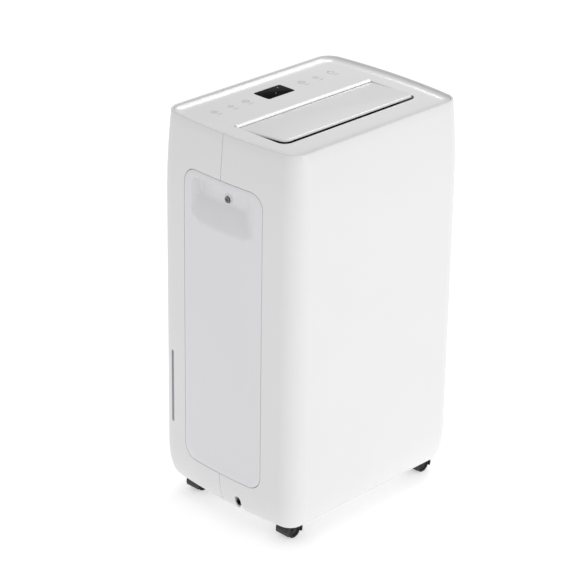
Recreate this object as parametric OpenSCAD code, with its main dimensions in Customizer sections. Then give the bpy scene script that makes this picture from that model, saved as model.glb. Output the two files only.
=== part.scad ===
/* [Body] */
// Width of the body over the bulge of its sides
body_w = 307; // [256:1:370]
// Depth of the body from its plain front to its rear
body_d = 233.5; // [225:0.5:282]
// Height of the body without its casters
body_h = 495; // [485:1:600]
// How far each side bulges past its corners
side_bow = 5.6; // [3:0.1:8]
// Radius of the upright corners in plan
corner_r = 28; // [24:1:34]
// How far the top edge leans in
lean_in = 5.8; // [2:0.1:8]
// Height over which the top leans in
lean_h = 109; // [60:1:140]
// How far the foot rounds in
foot_in = 13.7; // [8:0.1:15]
// Height over which the foot rounds in
foot_h = 45.7; // [30:0.1:56]
// Wall of the moulded shells
wall = 3.2; // [2.4:0.1:4]
// Gap at the seam between the front and rear shells
seam_gap = 0.6; // [0.3:0.1:1.2]
// Where the seam lies, measured backwards from the middle
seam_y = 2; // [-10:1:10]

/* [Side panels] */
// Width of a side panel
panel_w = 133.5; // [110:0.5:160]
// Bottom of a side panel above the body's underside
panel_z = 44; // [30:1:60]
// Height of a side panel
panel_h = 393; // [340:1:400]
// Corner radius of a side panel
panel_r = 20; // [10:1:30]
// Gap round a side panel
panel_gap = 0.8; // [0.4:0.1:1.5]
// Width of the grip pocket
grip_w = 112; // [90:1:116]
// Height of the grip pocket's mouth
grip_h = 56; // [50:1:62]
// Depth of the grip pocket
grip_depth = 15; // [10:1:18]

/* [Top] */
// How far the control deck lies below the rim
deck_drop = 4.5; // [3:0.1:6]
// Thickness of the control deck
deck_t = 3; // [2.4:0.1:4]
// Gap between the control deck and the shells
deck_gap = 0.4; // [0.3:0.1:1]
// Length of the outlet flap at its hinged edge
flap_w = 228; // [180:1:240]
// How much shorter the flap's free edge is at each end
flap_taper = 3; // [0:0.5:8]
// Width of the flap from the hinged edge to the free edge
flap_d = 74; // [60:1:86]
// Thickness of the outlet flap
flap_t = 2.8; // [2.2:0.1:3.2]
// Radius of the flap's free corners
flap_r = 9; // [5:1:12]
// Place of the flap's hinged edge, measured backwards from the middle
flap_y = 10.5; // [4:0.5:20]
// Radius of the flap's hinge pins
flap_pin_r = 2; // [1.5:0.1:2.2]
// Width of the display lens
lens_w = 45; // [36:1:60]
// Depth of the display lens
lens_d = 27; // [20:1:32]

/* [Tank] */
// Width of the rear opening for the tank
tank_open_w = 236; // [180:1:238]
// Height of the rear opening for the tank
tank_open_h = 140; // [120:1:150]
// Bottom of the tank opening above the body's underside
tank_open_z = 47; // [46:1:56]
// Depth of the water tank behind its front
tank_d = 84; // [70:1:88]
// Wall of the water tank
tank_wall = 2.2; // [1.8:0.1:3]
// Length of the tank handle's arms
handle_arm = 37; // [32:1:38]

/* [Air and refrigeration] */
// Radius of the fan wheel
fan_r = 85; // [70:1:88]
// Length of the fan wheel's blades
fan_depth = 50; // [40:1:52]
// Radius of the fan shaft
fan_shaft_r = 4; // [3:0.5:6]
// Height of the evaporator and the condenser
coil_h = 195; // [160:1:215]
// Width of the evaporator and the condenser
coil_w = 216; // [180:1:222]
// Thickness of each coil
coil_t = 22; // [16:1:23]
// Width of the rear intake opening
intake_w = 216; // [180:1:222]
// Height of the rear intake opening
intake_h = 200; // [160:1:210]
// Radius of the drain spout
spout_r = 8; // [6:0.5:9]
// Radius of the compressor
compressor_r = 48; // [40:1:50]

/* [Casters] */
// Height of the body's underside above the floor
ride_h = 25; // [24:1:32]
// Distance of the casters from the middle, across
caster_x = 119; // [90:1:121]
// Distance of the casters from the middle, front to back
caster_y = 81; // [70:1:84]
// Radius of a caster wheel
wheel_r = 10.5; // [9:0.5:10.5]
// Width of a caster wheel
wheel_w = 6.5; // [5:0.5:8]
// Radius of a caster's stem
stem_r = 3; // [2.5:0.1:4]
// How far a caster's axle trails its stem
trail = 6; // [4:0.5:8]

/* [Hidden] */
$fn = 64;
running = 0.05;                                  // radial clearance of a turning fit
half_d = body_d / 2;
edge_x = body_w / 2 - side_bow;                  // half the width at the corners
side_a = 2 * atan(side_bow / (half_d - corner_r));
side_r = corner_r + (half_d - corner_r) / sin(side_a);
side_x = body_w / 2 - side_r;
corner_cx = side_x + (side_r - corner_r) * cos(side_a);
corner_cy = half_d - corner_r;
in_y = half_d - wall;                            // inner face of the front and rear walls
top_z = ride_h + body_h;
deck_z = top_z - deck_drop;                      // upper face of the control deck
foot_steps = [0 : 15 : 75];
lean_steps = [0 : 0.2 : 1];
levels = concat([for (a = foot_steps) foot_h * (1 - cos(a))], [foot_h],
                [for (t = lean_steps) body_h - lean_h * (1 - t)]);

// flap and hinge
flap_z = deck_z - 3.4;                           // underside of the flap at its hinged edge
flap_tilt = 3.5;                                 // the free edge stands higher than the hinged edge
flap_axis_y = flap_y - 12.5;
flap_axis_z = deck_z - 6.4;
boss_r = flap_pin_r + 1.3;
knuckle_r = flap_pin_r + 2;
well_x = flap_w / 2 + 0.8;                       // half the length of the outlet well
well_y0 = flap_y - flap_d - 2.2;
well_y1 = flap_y + 3.5;
well_r = flap_r + 3;
well_h = 20;
strip_y = flap_y + 1.7;
strip_d = 6;
lens_y = strip_y + strip_d + 48.3;
grille_t = 8;
grille_z = deck_z - deck_t - well_h;             // top of the outlet grille

// tank
open_z0 = ride_h + tank_open_z;
open_z1 = open_z0 + tank_open_h;
front_t = 5.5;                                   // thickness of the tank's front
front_gap = 0.8;
tank_y1 = half_d - front_t;
tank_y0 = tank_y1 - tank_d;
tank_x = tank_open_w / 2 - 6;
tank_z0 = open_z0 + 2;
tank_z1 = open_z1 - 22;
handle_y = tank_y1 - 44;                         // pivot of the tank's handle
handle_z = tank_z1 - 10;
handle_r = 2.5;
handle_rest = 32;                                // angle of the lowered handle above level
lid_y1 = handle_y + 22;
lid_t = 3;
pull_x = 44.8;                                   // finger recess in the tank's front
pull_y = tank_y1 - 12;
pull_z0 = tank_z1 - 39.8;
pull_z1 = tank_z1 - 5;
rail_x = tank_x - 14;
drip_x = tank_x - 52;                            // where the tray drips into the tank
float_x = -tank_x + 14;
float_y = tank_y0 + 24;
float_z = tank_z1 - 20;

// tray, coils and intake
tray_t = 2.5;
tray_z = open_z1 + 14;
tray_h = 20;
tray_y0 = tank_y0 - 4;
tray_y1 = half_d - 12.7;
coil_z = tray_z + tray_t + 3;
coil_pitch = coil_w / floor(coil_w / 9);         // from one fin to the next
evap_y = tray_y1 - 4 - coil_t;
cond_y = evap_y - coil_t - 8;
spout_x = -92;
spout_z = tray_z + 11;
spout_y1 = half_d - 2.9;
intake_z0 = tray_z + 36;
intake_z1 = intake_z0 + intake_h;

// fan
fan_z = top_z - 155;
house_r = fan_r + 19;                            // outer radius of the fan housing
house_t = 2;
shelf_z = fan_z - house_r - 3;                   // underside of the shelf that the housing stands on
duct_x = house_r + 2;
house_y0 = flap_y - 52.5;
house_y1 = house_y0 + fan_depth + 12;
duct_z = grille_z - grille_t - 14;               // top of the fan housing's duct
motor_r = 42;
motor_l = 46;
motor_ring = [for (a = [45 : 90 : 315]) [30 * cos(a), fan_z + 30 * sin(a)]];
side_screw_z = ride_h + panel_z + panel_h - 28;  // height of the screws in the grip pockets
pocket_x = body_w / 2 - grip_depth;              // bottom of the grip pockets

// base
pan_in = foot_in + wall + 0.5;
pan_t = 3;
pan_h = 20;
socket_h = 16;
post_x = 75;
post_y = half_d - 26.75;
post_r = 4.5;
screw_r = 2;
gland_y = -27;
gland_r = 4.4;
gland_z = ride_h + 13;

// compressor
comp_x = -62;
comp_y = -34;
comp_z = ride_h + pan_t + 14;
comp_h = 172;
foot_ring = [for (a = [30, 150, 270])
    [comp_x + (compressor_r - 6) * cos(a), comp_y + (compressor_r - 6) * sin(a)]];

// ---- shapes shared by several pieces ----

// Points along an arc, from angle a to angle b
function arc(x, y, r, a, b, first, last, n) =
    [for (i = [first : last]) let (t = a + (b - a) * i / n) [x + r * cos(t), y + r * sin(t)]];

// The body's plan outline, drawn in by d all round
function outline(d) = concat(
    arc(side_x, 0, side_r - d, -side_a, side_a, 0, 6, 6),
    arc(corner_cx, corner_cy, corner_r - d, side_a, 90, 1, 8, 8),
    arc(-corner_cx, corner_cy, corner_r - d, 90, 180 - side_a, 0, 8, 8),
    arc(-side_x, 0, side_r - d, 180 - side_a, 180 + side_a, 1, 6, 6),
    arc(-corner_cx, -corner_cy, corner_r - d, 180 + side_a, 270, 1, 8, 8),
    arc(corner_cx, -corner_cy, corner_r - d, 270, 360 - side_a, 0, 7, 8));

// How far the outline lies in from the full body at a height above the underside
function edge_in(z) =
    z > body_h - lean_h ? lean_in * pow((z - body_h + lean_h) / lean_h, 2) :
    z < foot_h ? foot_in * (1 - sqrt(max(0, 1 - pow((foot_h - z) / foot_h, 2)))) : 0;

// A rounded rectangle's points about its middle
function rounded(w, h, r) = concat(
    arc(w / 2 - r, h / 2 - r, r, 0, 90, 0, 6, 6), arc(r - w / 2, h / 2 - r, r, 90, 180, 0, 6, 6),
    arc(r - w / 2, r - h / 2, r, 180, 270, 0, 6, 6), arc(w / 2 - r, r - h / 2, r, 270, 360, 0, 6, 6));

// The body's full form, drawn in by d all round, standing at its true height
module body_form(d) {
    n = len(outline(0));
    translate([0, 0, ride_h])
        for (i = [0 : len(levels) - 2])
            if (levels[i + 1] > levels[i] + 0.01)
                hull()
                    polyhedron(
                        points = [for (k = [i, i + 1]) for (p = outline(edge_in(levels[k]) + d))
                            [p[0], p[1], levels[k]]],
                        faces = concat([[for (j = [0 : n - 1]) j]],
                            [[for (j = [n - 1 : -1 : 0]) n + j]],
                            [for (j = [0 : n - 1]) [j, j + n, (j + 1) % n + n, (j + 1) % n]]));
}

// A prism along X through one side, with a panel's outline drawn in by d
module side_prism(side, d) {
    translate([side * (body_w / 2 + 5), 0, ride_h + panel_z + panel_h / 2])
        rotate([90, 0, -side * 90])
            linear_extrude(30)
                polygon(rounded(panel_w - 2 * d, panel_h - 2 * d, panel_r - d));
}

// A block given by its low and high corners
module block(lo, hi) {
    translate(lo)
        cube(hi - lo);
}

// A cylinder along X or Y, from one place to the next
module rod_x(x0, x1, y, z, r) {
    translate([x0, y, z])
        rotate([0, 90, 0])
            cylinder(r = r, h = x1 - x0);
}

module rod_y(y0, y1, x, z, r) {
    translate([x, y1, z])
        rotate([90, 0, 0])
            cylinder(r = r, h = y1 - y0);
}

// A copper pipe of straight runs with a brazed elbow at each bend
module pipe(points, r) {
    for (i = [0 : len(points) - 2]) {
        run = points[i + 1] - points[i];
        turn = atan2(run[1], run[0]);
        tilt = acos(run[2] / norm(run));
        translate(points[i])
            rotate([0, tilt, turn])
                cylinder(r = r, h = norm(run), $fn = 32);
    }
    for (i = [1 : len(points) - 2])
        translate(points[i])
            sphere(r = r * 1.2, $fn = 32);
}

// ---- casing ----

module shell_posts(front) {
    for (x = [-post_x, post_x]) {
        translate([x, front * post_y, ride_h + pan_t + 0.4])
            cylinder(r = post_r, h = 22, $fn = 32);
        translate([x - 1.5, front > 0 ? post_y : -in_y - 1, ride_h + pan_h + 1.5])
            cube([3, in_y + 1 - post_y, pan_t + 0.9]);
    }
}

module post_holes(front) {
    for (x = [-post_x, post_x])
        translate([x, front * post_y, ride_h])
            cylinder(r = screw_r + 0.2, h = 22, $fn = 24);
}

module hollow_body() {
    difference() {
        body_form(0);
        // a hair taller than the body, so that both ends are open
        translate([0, 0, -0.01])
            scale([1, 1, 1.0001])
                body_form(wall);
        for (side = [-1, 1])
            side_prism(side, 0);
    }
}

module front_shell() {
    color("white")
    difference() {
        union() {
            intersection() {
                hollow_body();
                block([-body_w, -body_d, 0], [body_w, seam_y - seam_gap / 2, top_z + 1]);
            }
            shell_posts(-1);
        }
        post_holes(-1);
        // arched notch for the cord
        hull() {
            rod_x(-body_w, -edge_x + foot_in + 6, gland_y, ride_h + 17, 5);
            rod_x(-body_w, -edge_x + foot_in + 6, gland_y, ride_h - 6, 5);
        }
    }
}

module rear_shell() {
    color("white")
    difference() {
        union() {
            intersection() {
                hollow_body();
                block([-body_w, seam_y + seam_gap / 2, 0], [body_w, body_d, top_z + 1]);
            }
            shell_posts(1);
        }
        post_holes(1);
        block([-tank_open_w / 2, tank_y1 - 6, open_z0], [tank_open_w / 2, body_d, open_z1]);
        block([-intake_w / 2, in_y - 6, intake_z0], [intake_w / 2, body_d, intake_z1]);
        rod_y(in_y - 6, body_d, spout_x, spout_z, spout_r + 6);
        for (side = [-1, 1])
            level_slot(side, 0);
    }
}

// The upright slot over the tank's level window, at the rear of each side
module level_slot(side, d) {
    slot_y = half_d - 24.75;
    translate([side * (body_w / 2 + 5), slot_y, open_z0 + 84])
        rotate([90, 0, -side * 90])
            linear_extrude(30)
                polygon(rounded(4.6 - 2 * d, 100 - 2 * d, 2 - d));
}

module level_windows() {
    color("slategray")
    for (side = [-1, 1])
        difference() {
            intersection() {
                body_form(0.7);
                level_slot(side, 0.15);
            }
            body_form(wall + 1);
        }
}

// The grip pocket, deep under its top edge and sloping out to its foot, drawn out by d
module grip_pocket(d) {
    y0 = seam_y - 4 - grip_w / 2;
    y1 = y0 + grip_w;
    z1 = ride_h + panel_z + panel_h - 8;
    hull() {
        block([pocket_x - d, y0 + 28 - d, z1 - grip_h + 30 - d], [pocket_x + 1, y1 - 6 + d, z1 + d]);
        block([body_w / 2, y0 - d, z1 - grip_h - d], [body_w / 2 + 1, y1 + d, z1 + d]);
    }
}

module side_panel() {
    difference() {
        union() {
            difference() {
                intersection() {
                    body_form(0);
                    side_prism(1, panel_gap);
                }
                body_form(wall - 0.2);
            }
            intersection() {
                body_form(0.6);
                grip_pocket(2);
            }
        }
        grip_pocket(0);
        rod_x(pocket_x - 5, body_w, seam_y, side_screw_z, 2.4, $fn = 24);
    }
}

module left_side_panel() { color("whitesmoke") mirror([1, 0, 0]) side_panel(); }
module right_side_panel() { color("whitesmoke") side_panel(); }

// Pan-head screws in the grip pockets, into the fan housing's side bosses
module side_screws() {
    color("silver")
    for (side = [-1, 1])
        mirror([side > 0 ? 0 : 1, 0, 0])
            difference() {
                union() {
                    rod_x(pocket_x + 0.1, pocket_x + 2.9, seam_y, side_screw_z, 4);
                    rod_x(pocket_x - 14, pocket_x + 1, seam_y, side_screw_z, 2);
                }
                block([pocket_x + 1.6, seam_y - 2.6, side_screw_z - 0.5],
                      [pocket_x + 4, seam_y + 2.6, side_screw_z + 0.5]);
                block([pocket_x + 1.6, seam_y - 0.5, side_screw_z - 2.6],
                      [pocket_x + 4, seam_y + 0.5, side_screw_z + 2.6]);
            }
}

// ---- base ----

module base_pan() {
    color("gainsboro")
    difference() {
        union() {
            translate([0, 0, ride_h])
                difference() {
                    linear_extrude(pan_h)
                        polygon(outline(pan_in));
                    translate([0, 0, pan_t])
                        linear_extrude(pan_h)
                            polygon(outline(pan_in + 2.4));
                }
            for (x = [-caster_x, caster_x], y = [-caster_y, caster_y])
                translate([x, y, ride_h + 0.5])
                    cylinder(r = stem_r + 3, h = socket_h - 0.5);
        }
        for (x = [-caster_x, caster_x], y = [-caster_y, caster_y])
            translate([x, y, ride_h - 1])
                cylinder(r = stem_r + running, h = socket_h - 1);
        for (x = [-post_x, post_x], y = [-post_y, post_y]) {
            translate([x, y, ride_h - 1])
                cylinder(r = screw_r + 0.3, h = 8);
            translate([x, y, ride_h - 1])
                cylinder(r = 2 * screw_r + 0.4, h = 3);
        }
        rod_x(-body_w / 2, -edge_x + pan_in + 12, gland_y, gland_z, gland_r + 0.1);
    }
}

// Four screws up through the base pan into the shells' posts
module base_screws() {
    color("dimgray")
    for (x = [-post_x, post_x], y = [-post_y, post_y])
        translate([x, y, ride_h])
            union() {
                translate([0, 0, 0.3])
                    cylinder(r = 2 * screw_r, h = 1.6);
                translate([0, 0, 1])
                    cylinder(r = screw_r, h = 17);
            }
}

// Strain-relief bush where the mains cord would pass
module cord_gland() {
    x0 = -edge_x - side_bow + edge_in(gland_z - ride_h) + 2;
    color("dimgray")
    difference() {
        union() {
            rod_x(x0, -edge_x - side_bow + pan_in + 14, gland_y, gland_z, gland_r);
            rod_x(-edge_x - side_bow + pan_in + 3.8, -edge_x - side_bow + pan_in + 6.8,
                  gland_y, gland_z, gland_r + 1.6);
        }
        rod_x(x0 - 1, -edge_x - side_bow + pan_in + 15, gland_y, gland_z, gland_r - 1);
    }
}

// ---- top ----

module flap_points() {
    polygon(concat(
        [[flap_w / 2, flap_y], [-flap_w / 2, flap_y]],
        arc(-flap_w / 2 + flap_taper + flap_r, flap_y - flap_d + flap_r, flap_r, 184, 270, 0, 6, 6),
        arc(flap_w / 2 - flap_taper - flap_r, flap_y - flap_d + flap_r, flap_r, 270, 356, 0, 6, 6)));
}

// The outlet well's plan, with rounded corners under the flap's free edge, drawn out by d
module well_outline(d) {
    polygon(concat([[well_x + d, well_y1 + d], [-well_x - d, well_y1 + d]],
        arc(well_r - well_x, well_y0 + well_r, well_r + d, 180, 270, 0, 6, 6),
        arc(well_x - well_r, well_y0 + well_r, well_r + d, 270, 360, 0, 6, 6)));
}

module top_cover() {
    rim_in = lean_in + wall + deck_gap;
    color("lightgray")
    difference() {
        union() {
            translate([0, 0, deck_z - deck_t])
                linear_extrude(deck_t)
                    polygon(outline(rim_in));
            // raised edge against the rim
            translate([0, 0, deck_z - 1])
                difference() {
                    linear_extrude(deck_drop)
                        polygon(outline(rim_in));
                    translate([0, 0, 1])
                        linear_extrude(deck_drop)
                            polygon(outline(rim_in + 2.5));
                }
            // walls of the outlet well
            translate([0, 0, deck_z - deck_t - well_h + 4])
                linear_extrude(deck_t + well_h - 5)
                    well_outline(2);
        }
        translate([0, 0, deck_z - deck_t - well_h])
            linear_extrude(deck_t + well_h + 1)
                well_outline(0);
        translate([0, lens_y, deck_z - 1.4])
            linear_extrude(3)
                polygon(rounded(lens_w + 0.6, lens_d + 0.6, 2.8));
    }
    // bosses that hold the flap's pins
    color("lightgray")
    for (side = [-1, 1])
        mirror([side > 0 ? 0 : 1, 0, 0])
            difference() {
                rod_x(well_x - 6, well_x + 1, flap_axis_y, flap_axis_z, boss_r);
                rod_x(well_x - 7, well_x - 0.5, flap_axis_y, flap_axis_z, flap_pin_r);
            }
}

// White strip along the hinged edge of the flap, sloping down into the well
module hinge_strip() {
    y1 = strip_y + strip_d;
    color("white")
    translate([-flap_w / 2 - 0.5, 0, 0])
        rotate([90, 0, 90])
            linear_extrude(flap_w + 1)
                polygon([[strip_y, deck_z - 0.4], [strip_y, deck_z - 2], [well_y1 - 0.2, deck_z - 2],
                    [well_y1 - 0.2, deck_z + 0.05], [y1, deck_z + 0.05], [y1, deck_z + 0.8],
                    [y1 - 0.6, deck_z + 1.4], [strip_y + 3, deck_z + 1.4]]);
}

module outlet_flap() {
    color("lightgray")
    difference() {
        union() {
            translate([0, flap_y, flap_z])
                rotate([-flap_tilt, 0, 0])
                    translate([0, -flap_y, 0])
                        linear_extrude(flap_t)
                            flap_points();
            for (side = [-1, 1])
                mirror([side > 0 ? 0 : 1, 0, 0]) {
                    rod_x(well_x - 13, well_x - 7, flap_axis_y, flap_axis_z, knuckle_r);
                    block([well_x - 13, flap_axis_y - 3, flap_axis_z],
                          [well_x - 7, flap_axis_y + 3, flap_z + 1.6]);
                }
        }
        for (side = [-1, 1])
            mirror([side > 0 ? 0 : 1, 0, 0])
                rod_x(well_x - 14, well_x - 6, flap_axis_y, flap_axis_z, flap_pin_r + running);
    }
}

module flap_pins() {
    color("silver")
    for (side = [-1, 1])
        mirror([side > 0 ? 0 : 1, 0, 0])
            rod_x(well_x - 13.5, well_x - 1, flap_axis_y, flap_axis_z, flap_pin_r);
}

// Fixed guard under the flap
module outlet_grille() {
    bars = floor((well_x * 2 - 8) / 9);
    color("dimgray")
    difference() {
        translate([0, 0, grille_z - grille_t + 4])
            linear_extrude(grille_t - 0.6)
                well_outline(-0.4);
        for (i = [0 : bars - 1])
            block([-well_x + 6 + i * (well_x * 2 - 10) / bars, well_y0 + 6, grille_z - grille_t],
                  [-well_x + 6 + (i + 1) * (well_x * 2 - 10) / bars - 2, well_y1 - 4, grille_z + 5]);
    }
}

// Sheet duct between the fan housing and the outlet guard
module outlet_duct() {
    z1 = grille_z - grille_t + 3.9;
    color("gainsboro")
    difference() {
        block([-well_x - 1.5, well_y0 - 1.5, duct_z + 0.4], [well_x + 1.5, house_y1 + 4, z1]);
        block([-well_x + 0.5, well_y0 + 0.5, duct_z + 2.4], [well_x - 0.5, house_y1 + 2, z1 + 1]);
        block([-duct_x + 4, house_y0 + 2, duct_z - 1], [duct_x - 4, house_y1 - 2, duct_z + 4]);
    }
}

module display_lens() {
    color("black")
    translate([0, lens_y, deck_z - 1.3])
        linear_extrude(1.6)
            polygon(rounded(lens_w, lens_d, 2.5));
}

module display_board() {
    color("darkgreen")
    union() {
        block([2 - flap_w / 2, lens_y - 22, deck_z - deck_t - 9],
              [flap_w / 2 - 2, lens_y + 20, deck_z - deck_t - 7.4]);
        block([-lens_w / 2, lens_y - lens_d / 2, deck_z - deck_t - 8],
              [lens_w / 2, lens_y + lens_d / 2, deck_z - deck_t - 0.4]);
    }
}

// Six contact springs under the touch marks
module touch_springs() {
    color("silver")
    for (side = [-1, 1], x = [lens_w / 2 + 25.5, flap_w * 0.32, flap_w * 0.44])
        translate([side * x, lens_y, deck_z - deck_t - 7.3])
            difference() {
                cylinder(r = 4, h = 7);
                translate([0, 0, 0.8])
                    cylinder(r = 3.2, h = 7);
            }
}

// ---- rear intake ----

module rear_grille() {
    w = intake_w - 1.2;
    h = intake_h - 1.2;
    rows = floor((h - 14) / 8);
    color("white")
    difference() {
        block([-w / 2, half_d - 4.7, intake_z0 + 0.6], [w / 2, half_d, intake_z1 - 0.6]);
        for (i = [0 : rows - 1], side = [-1, 1])
            block([side > 0 ? 2.5 : -w / 2 + 8, half_d - 6, intake_z0 + 8 + i * (h - 14) / rows],
                  [side > 0 ? w / 2 - 8 : -2.5, half_d + 1, intake_z0 + 8 + (i + 1) * (h - 14) / rows - 3]);
        // finger notch at the top edge
        block([-18, half_d - 2.5, intake_z1 - 6], [18, half_d + 1, intake_z1]);
    }
}

module filter_frame() {
    color("gray")
    difference() {
        block([-intake_w / 2 + 3, half_d - 8, intake_z0 + 3],
              [intake_w / 2 - 3, half_d - 4.8, intake_z1 - 3]);
        for (side = [-1, 1])
            block([side > 0 ? 2 : -intake_w / 2 + 9, half_d - 9, intake_z0 + 9],
                  [side > 0 ? intake_w / 2 - 9 : -2, half_d - 4, intake_z1 - 9]);
    }
}

module filter_mesh() {
    color("darkgray")
    for (side = [-1, 1])
        block([side > 0 ? 2.1 : -intake_w / 2 + 9.1, half_d - 6.8, intake_z0 + 9.1],
              [side > 0 ? intake_w / 2 - 9.1 : -2.1, half_d - 6, intake_z1 - 9.1]);
}

// ---- water tank ----

module water_tank() {
    color("lightsteelblue")
    difference() {
        union() {
            difference() {
                block([-tank_x, tank_y0, tank_z0], [tank_x, tank_y1, tank_z1]);
                difference() {
                    block([-tank_x + tank_wall, tank_y0 + tank_wall, tank_z0 + tank_wall],
                          [tank_x - tank_wall, tank_y1 - tank_wall, tank_z1 + 1]);
                    block([-pull_x - tank_wall, pull_y - tank_wall, pull_z0 - tank_wall],
                          [pull_x + tank_wall, tank_y1, tank_z1 + 2]);
                }
            }
            // shoulder between the lid and the front
            block([-tank_x, lid_y1 + 0.5, tank_z1 - 3], [tank_x, tank_y1, tank_z1]);
            // ears for the float's pin, and the pin
            for (y = [float_y - 6, float_y + 4])
                block([-tank_x + 1, y, float_z - 5], [float_x + 4, y + 2, float_z + 5]);
            rod_y(float_y - 5, float_y + 5, float_x, float_z, 1.5);
            // pivots for the handle
            for (side = [-1, 1])
                rod_x(side > 0 ? tank_x - 1 : -tank_x - 4.6, side > 0 ? tank_x + 4.6 : 1 - tank_x,
                      handle_y, handle_z, 3);
        }
        block([-pull_x, pull_y, pull_z0], [pull_x, tank_y1 + 1, pull_z1]);
    }
}

module tank_front() {
    color("white")
    difference() {
        block([-tank_open_w / 2 + front_gap, tank_y1, open_z0 + front_gap],
              [tank_open_w / 2 - front_gap, half_d, open_z1 - front_gap]);
        block([-pull_x, tank_y1 - 1, pull_z0], [pull_x, half_d + 1, pull_z1]);
    }
}

module tank_lid() {
    color("gainsboro")
    difference() {
        union() {
            block([-tank_x, tank_y0, tank_z1 + 0.05], [tank_x, lid_y1, tank_z1 + lid_t]);
            block([-tank_x + tank_wall + 0.4, tank_y0 + tank_wall + 0.4, tank_z1 - 3],
                  [tank_x - tank_wall - 0.4, lid_y1 - 2, tank_z1 + 1]);
        }
        // hole that the tray drips into
        translate([drip_x, tank_y0 + 30, tank_z1 - 4])
            cylinder(r = 12, h = 10);
        block([-tank_x + tank_wall + 3, tank_y0 + tank_wall + 3, tank_z1 - 4],
              [tank_x - tank_wall - 3, lid_y1 - 5, tank_z1 + 0.8]);
    }
}

// Folding handle with an arm on each side of the tank
module tank_handle() {
    arm_x = tank_x + 0.4;
    arm_t = 3.6;
    color("gray")
    union() {
        rod_x(-arm_x - arm_t / 2, arm_x + arm_t / 2, handle_y + handle_arm * cos(handle_rest),
              handle_z + handle_arm * sin(handle_rest), handle_r);
        for (side = [-1, 1])
            translate([side > 0 ? arm_x : -arm_x - arm_t, handle_y, handle_z])
                rotate([handle_rest, 0, 0])
                    difference() {
                        union() {
                            rod_x(0, arm_t, 0, 0, 5);
                            block([0, 0, -3.2], [arm_t, handle_arm + 3, 3.2]);
                        }
                        rod_x(-1, arm_t + 1, 0, 0, 3 + running);
                    }
    }
}

// Hollow float on an arm that turns on a pin in the tank
module tank_float() {
    color("orange")
    difference() {
        union() {
            rod_y(float_y - 3.6, float_y + 3.6, float_x, float_z, 3.4);
            block([float_x, float_y - 3, float_z - 2], [float_x + 34, float_y + 3, float_z + 1]);
            block([float_x + 18, float_y - 12, float_z - 22], [float_x + 46, float_y + 14, float_z - 1.5]);
        }
        rod_y(float_y - 5, float_y + 5, float_x, float_z, 1.5 + running);
    }
}

module tank_rails() {
    color("gainsboro")
    for (side = [-1, 1])
        union() {
            block([side * rail_x - 9, tank_y0 + 4, tank_z0 - 3.5],
                  [side * rail_x + 9, tank_y1 - 0.7, tank_z0 - 0.4]);
            block([side * rail_x - 1.5, tank_y0 + 4, ride_h + pan_t],
                  [side * rail_x + 1.5, tank_y1 - 19.7, tank_z0 - 3]);
        }
}

// Reed switch that feels the float's magnet
module tank_sensor() {
    color("black")
    block([float_x - 6, tank_y0 - 3.4, float_z - 12], [float_x + 14, tank_y0 - 0.5, float_z + 4]);
}

module bulkhead() {
    color("silver")
    block([-corner_cx - 6, tank_y0 - 5.2, ride_h + pan_t], [corner_cx + 6, tank_y0 - 4, tray_z - 0.4]);
}

// ---- condensate ----

module drip_tray() {
    x1 = corner_cx + 6;
    color("gainsboro")
    difference() {
        block([-x1, tray_y0, tray_z], [x1, tray_y1, tray_z + tray_h]);
        block([-x1 + 2, tray_y0 + 2, tray_z + tray_t], [x1 - 2, tray_y1 - 2, tray_z + tray_h + 1]);
        rod_y(tray_y1 - 4, tray_y1 + 1, spout_x, spout_z, spout_r - 2.5);
        translate([drip_x, tank_y0 + 30, tray_z - 1])
            cylinder(r = 5, h = 6);
    }
}

module drain_spout() {
    color("white")
    difference() {
        union() {
            rod_y(tray_y1 + 0.8, spout_y1, spout_x, spout_z, spout_r);
            rod_y(tray_y1 + 0.05, tray_y1 + 2.2, spout_x, spout_z, spout_r + 1.5);
        }
        rod_y(tray_y1 - 1, spout_y1 + 1, spout_x, spout_z, spout_r - 2.5);
    }
}

module drain_plug() {
    color("dimgray")
    union() {
        rod_y(spout_y1 - 7, spout_y1 + 0.4, spout_x, spout_z, spout_r - 2.56);
        rod_y(spout_y1 + 0.1, half_d - 0.3, spout_x, spout_z, spout_r - 0.6);
    }
}

// ---- refrigeration ----

// A coil of upright fins on a middle web, with its return bends at both ends
module coil(y0) {
    pitch = coil_pitch;
    fins = round(coil_w / pitch);
    teeth = [for (i = [0 : fins - 1]) for (k = [0 : 3])
        [-coil_w / 2 + i * pitch + (k < 2 ? 0 : 3), k == 0 || k == 3 ? 1 : coil_t / 2]];
    back = [for (i = [fins - 1 : -1 : 0]) for (k = [3 : -1 : 0])
        [-coil_w / 2 + i * pitch + (k < 2 ? 0 : 3), k == 0 || k == 3 ? -1 : -coil_t / 2]];
    translate([0, y0 + coil_t / 2, coil_z]) {
        linear_extrude(coil_h)
            polygon(concat(teeth, back));
        for (side = [-1, 1], z = [16 : 24 : coil_h - 22])
            translate([side > 0 ? coil_w / 2 - pitch + 1 : -coil_w / 2 + 1, 0, z + 6])
                rotate([90, 0, side > 0 ? 0 : 180])
                    rotate_extrude(angle = 180, start = -90)
                        translate([6, 0])
                            circle(r = 3.5, $fn = 24);
    }
}

module evaporator() { color("silver") coil(evap_y); }
module condenser() { color("tan") coil(cond_y); }

// Sheet shelf that carries the fan housing over the compressor
module mid_plate() {
    color("silver")
    difference() {
        block([-corner_cx - 6, -in_y + 4, shelf_z], [corner_cx + 6, house_y1, shelf_z + 1.4]);
        for (p = [[-corner_cx + 4, comp_y], [corner_cx - 4, comp_y - 4]])
            translate([p[0], p[1], 0])
                cylinder(r = 7, h = top_z);
    }
}

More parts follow.
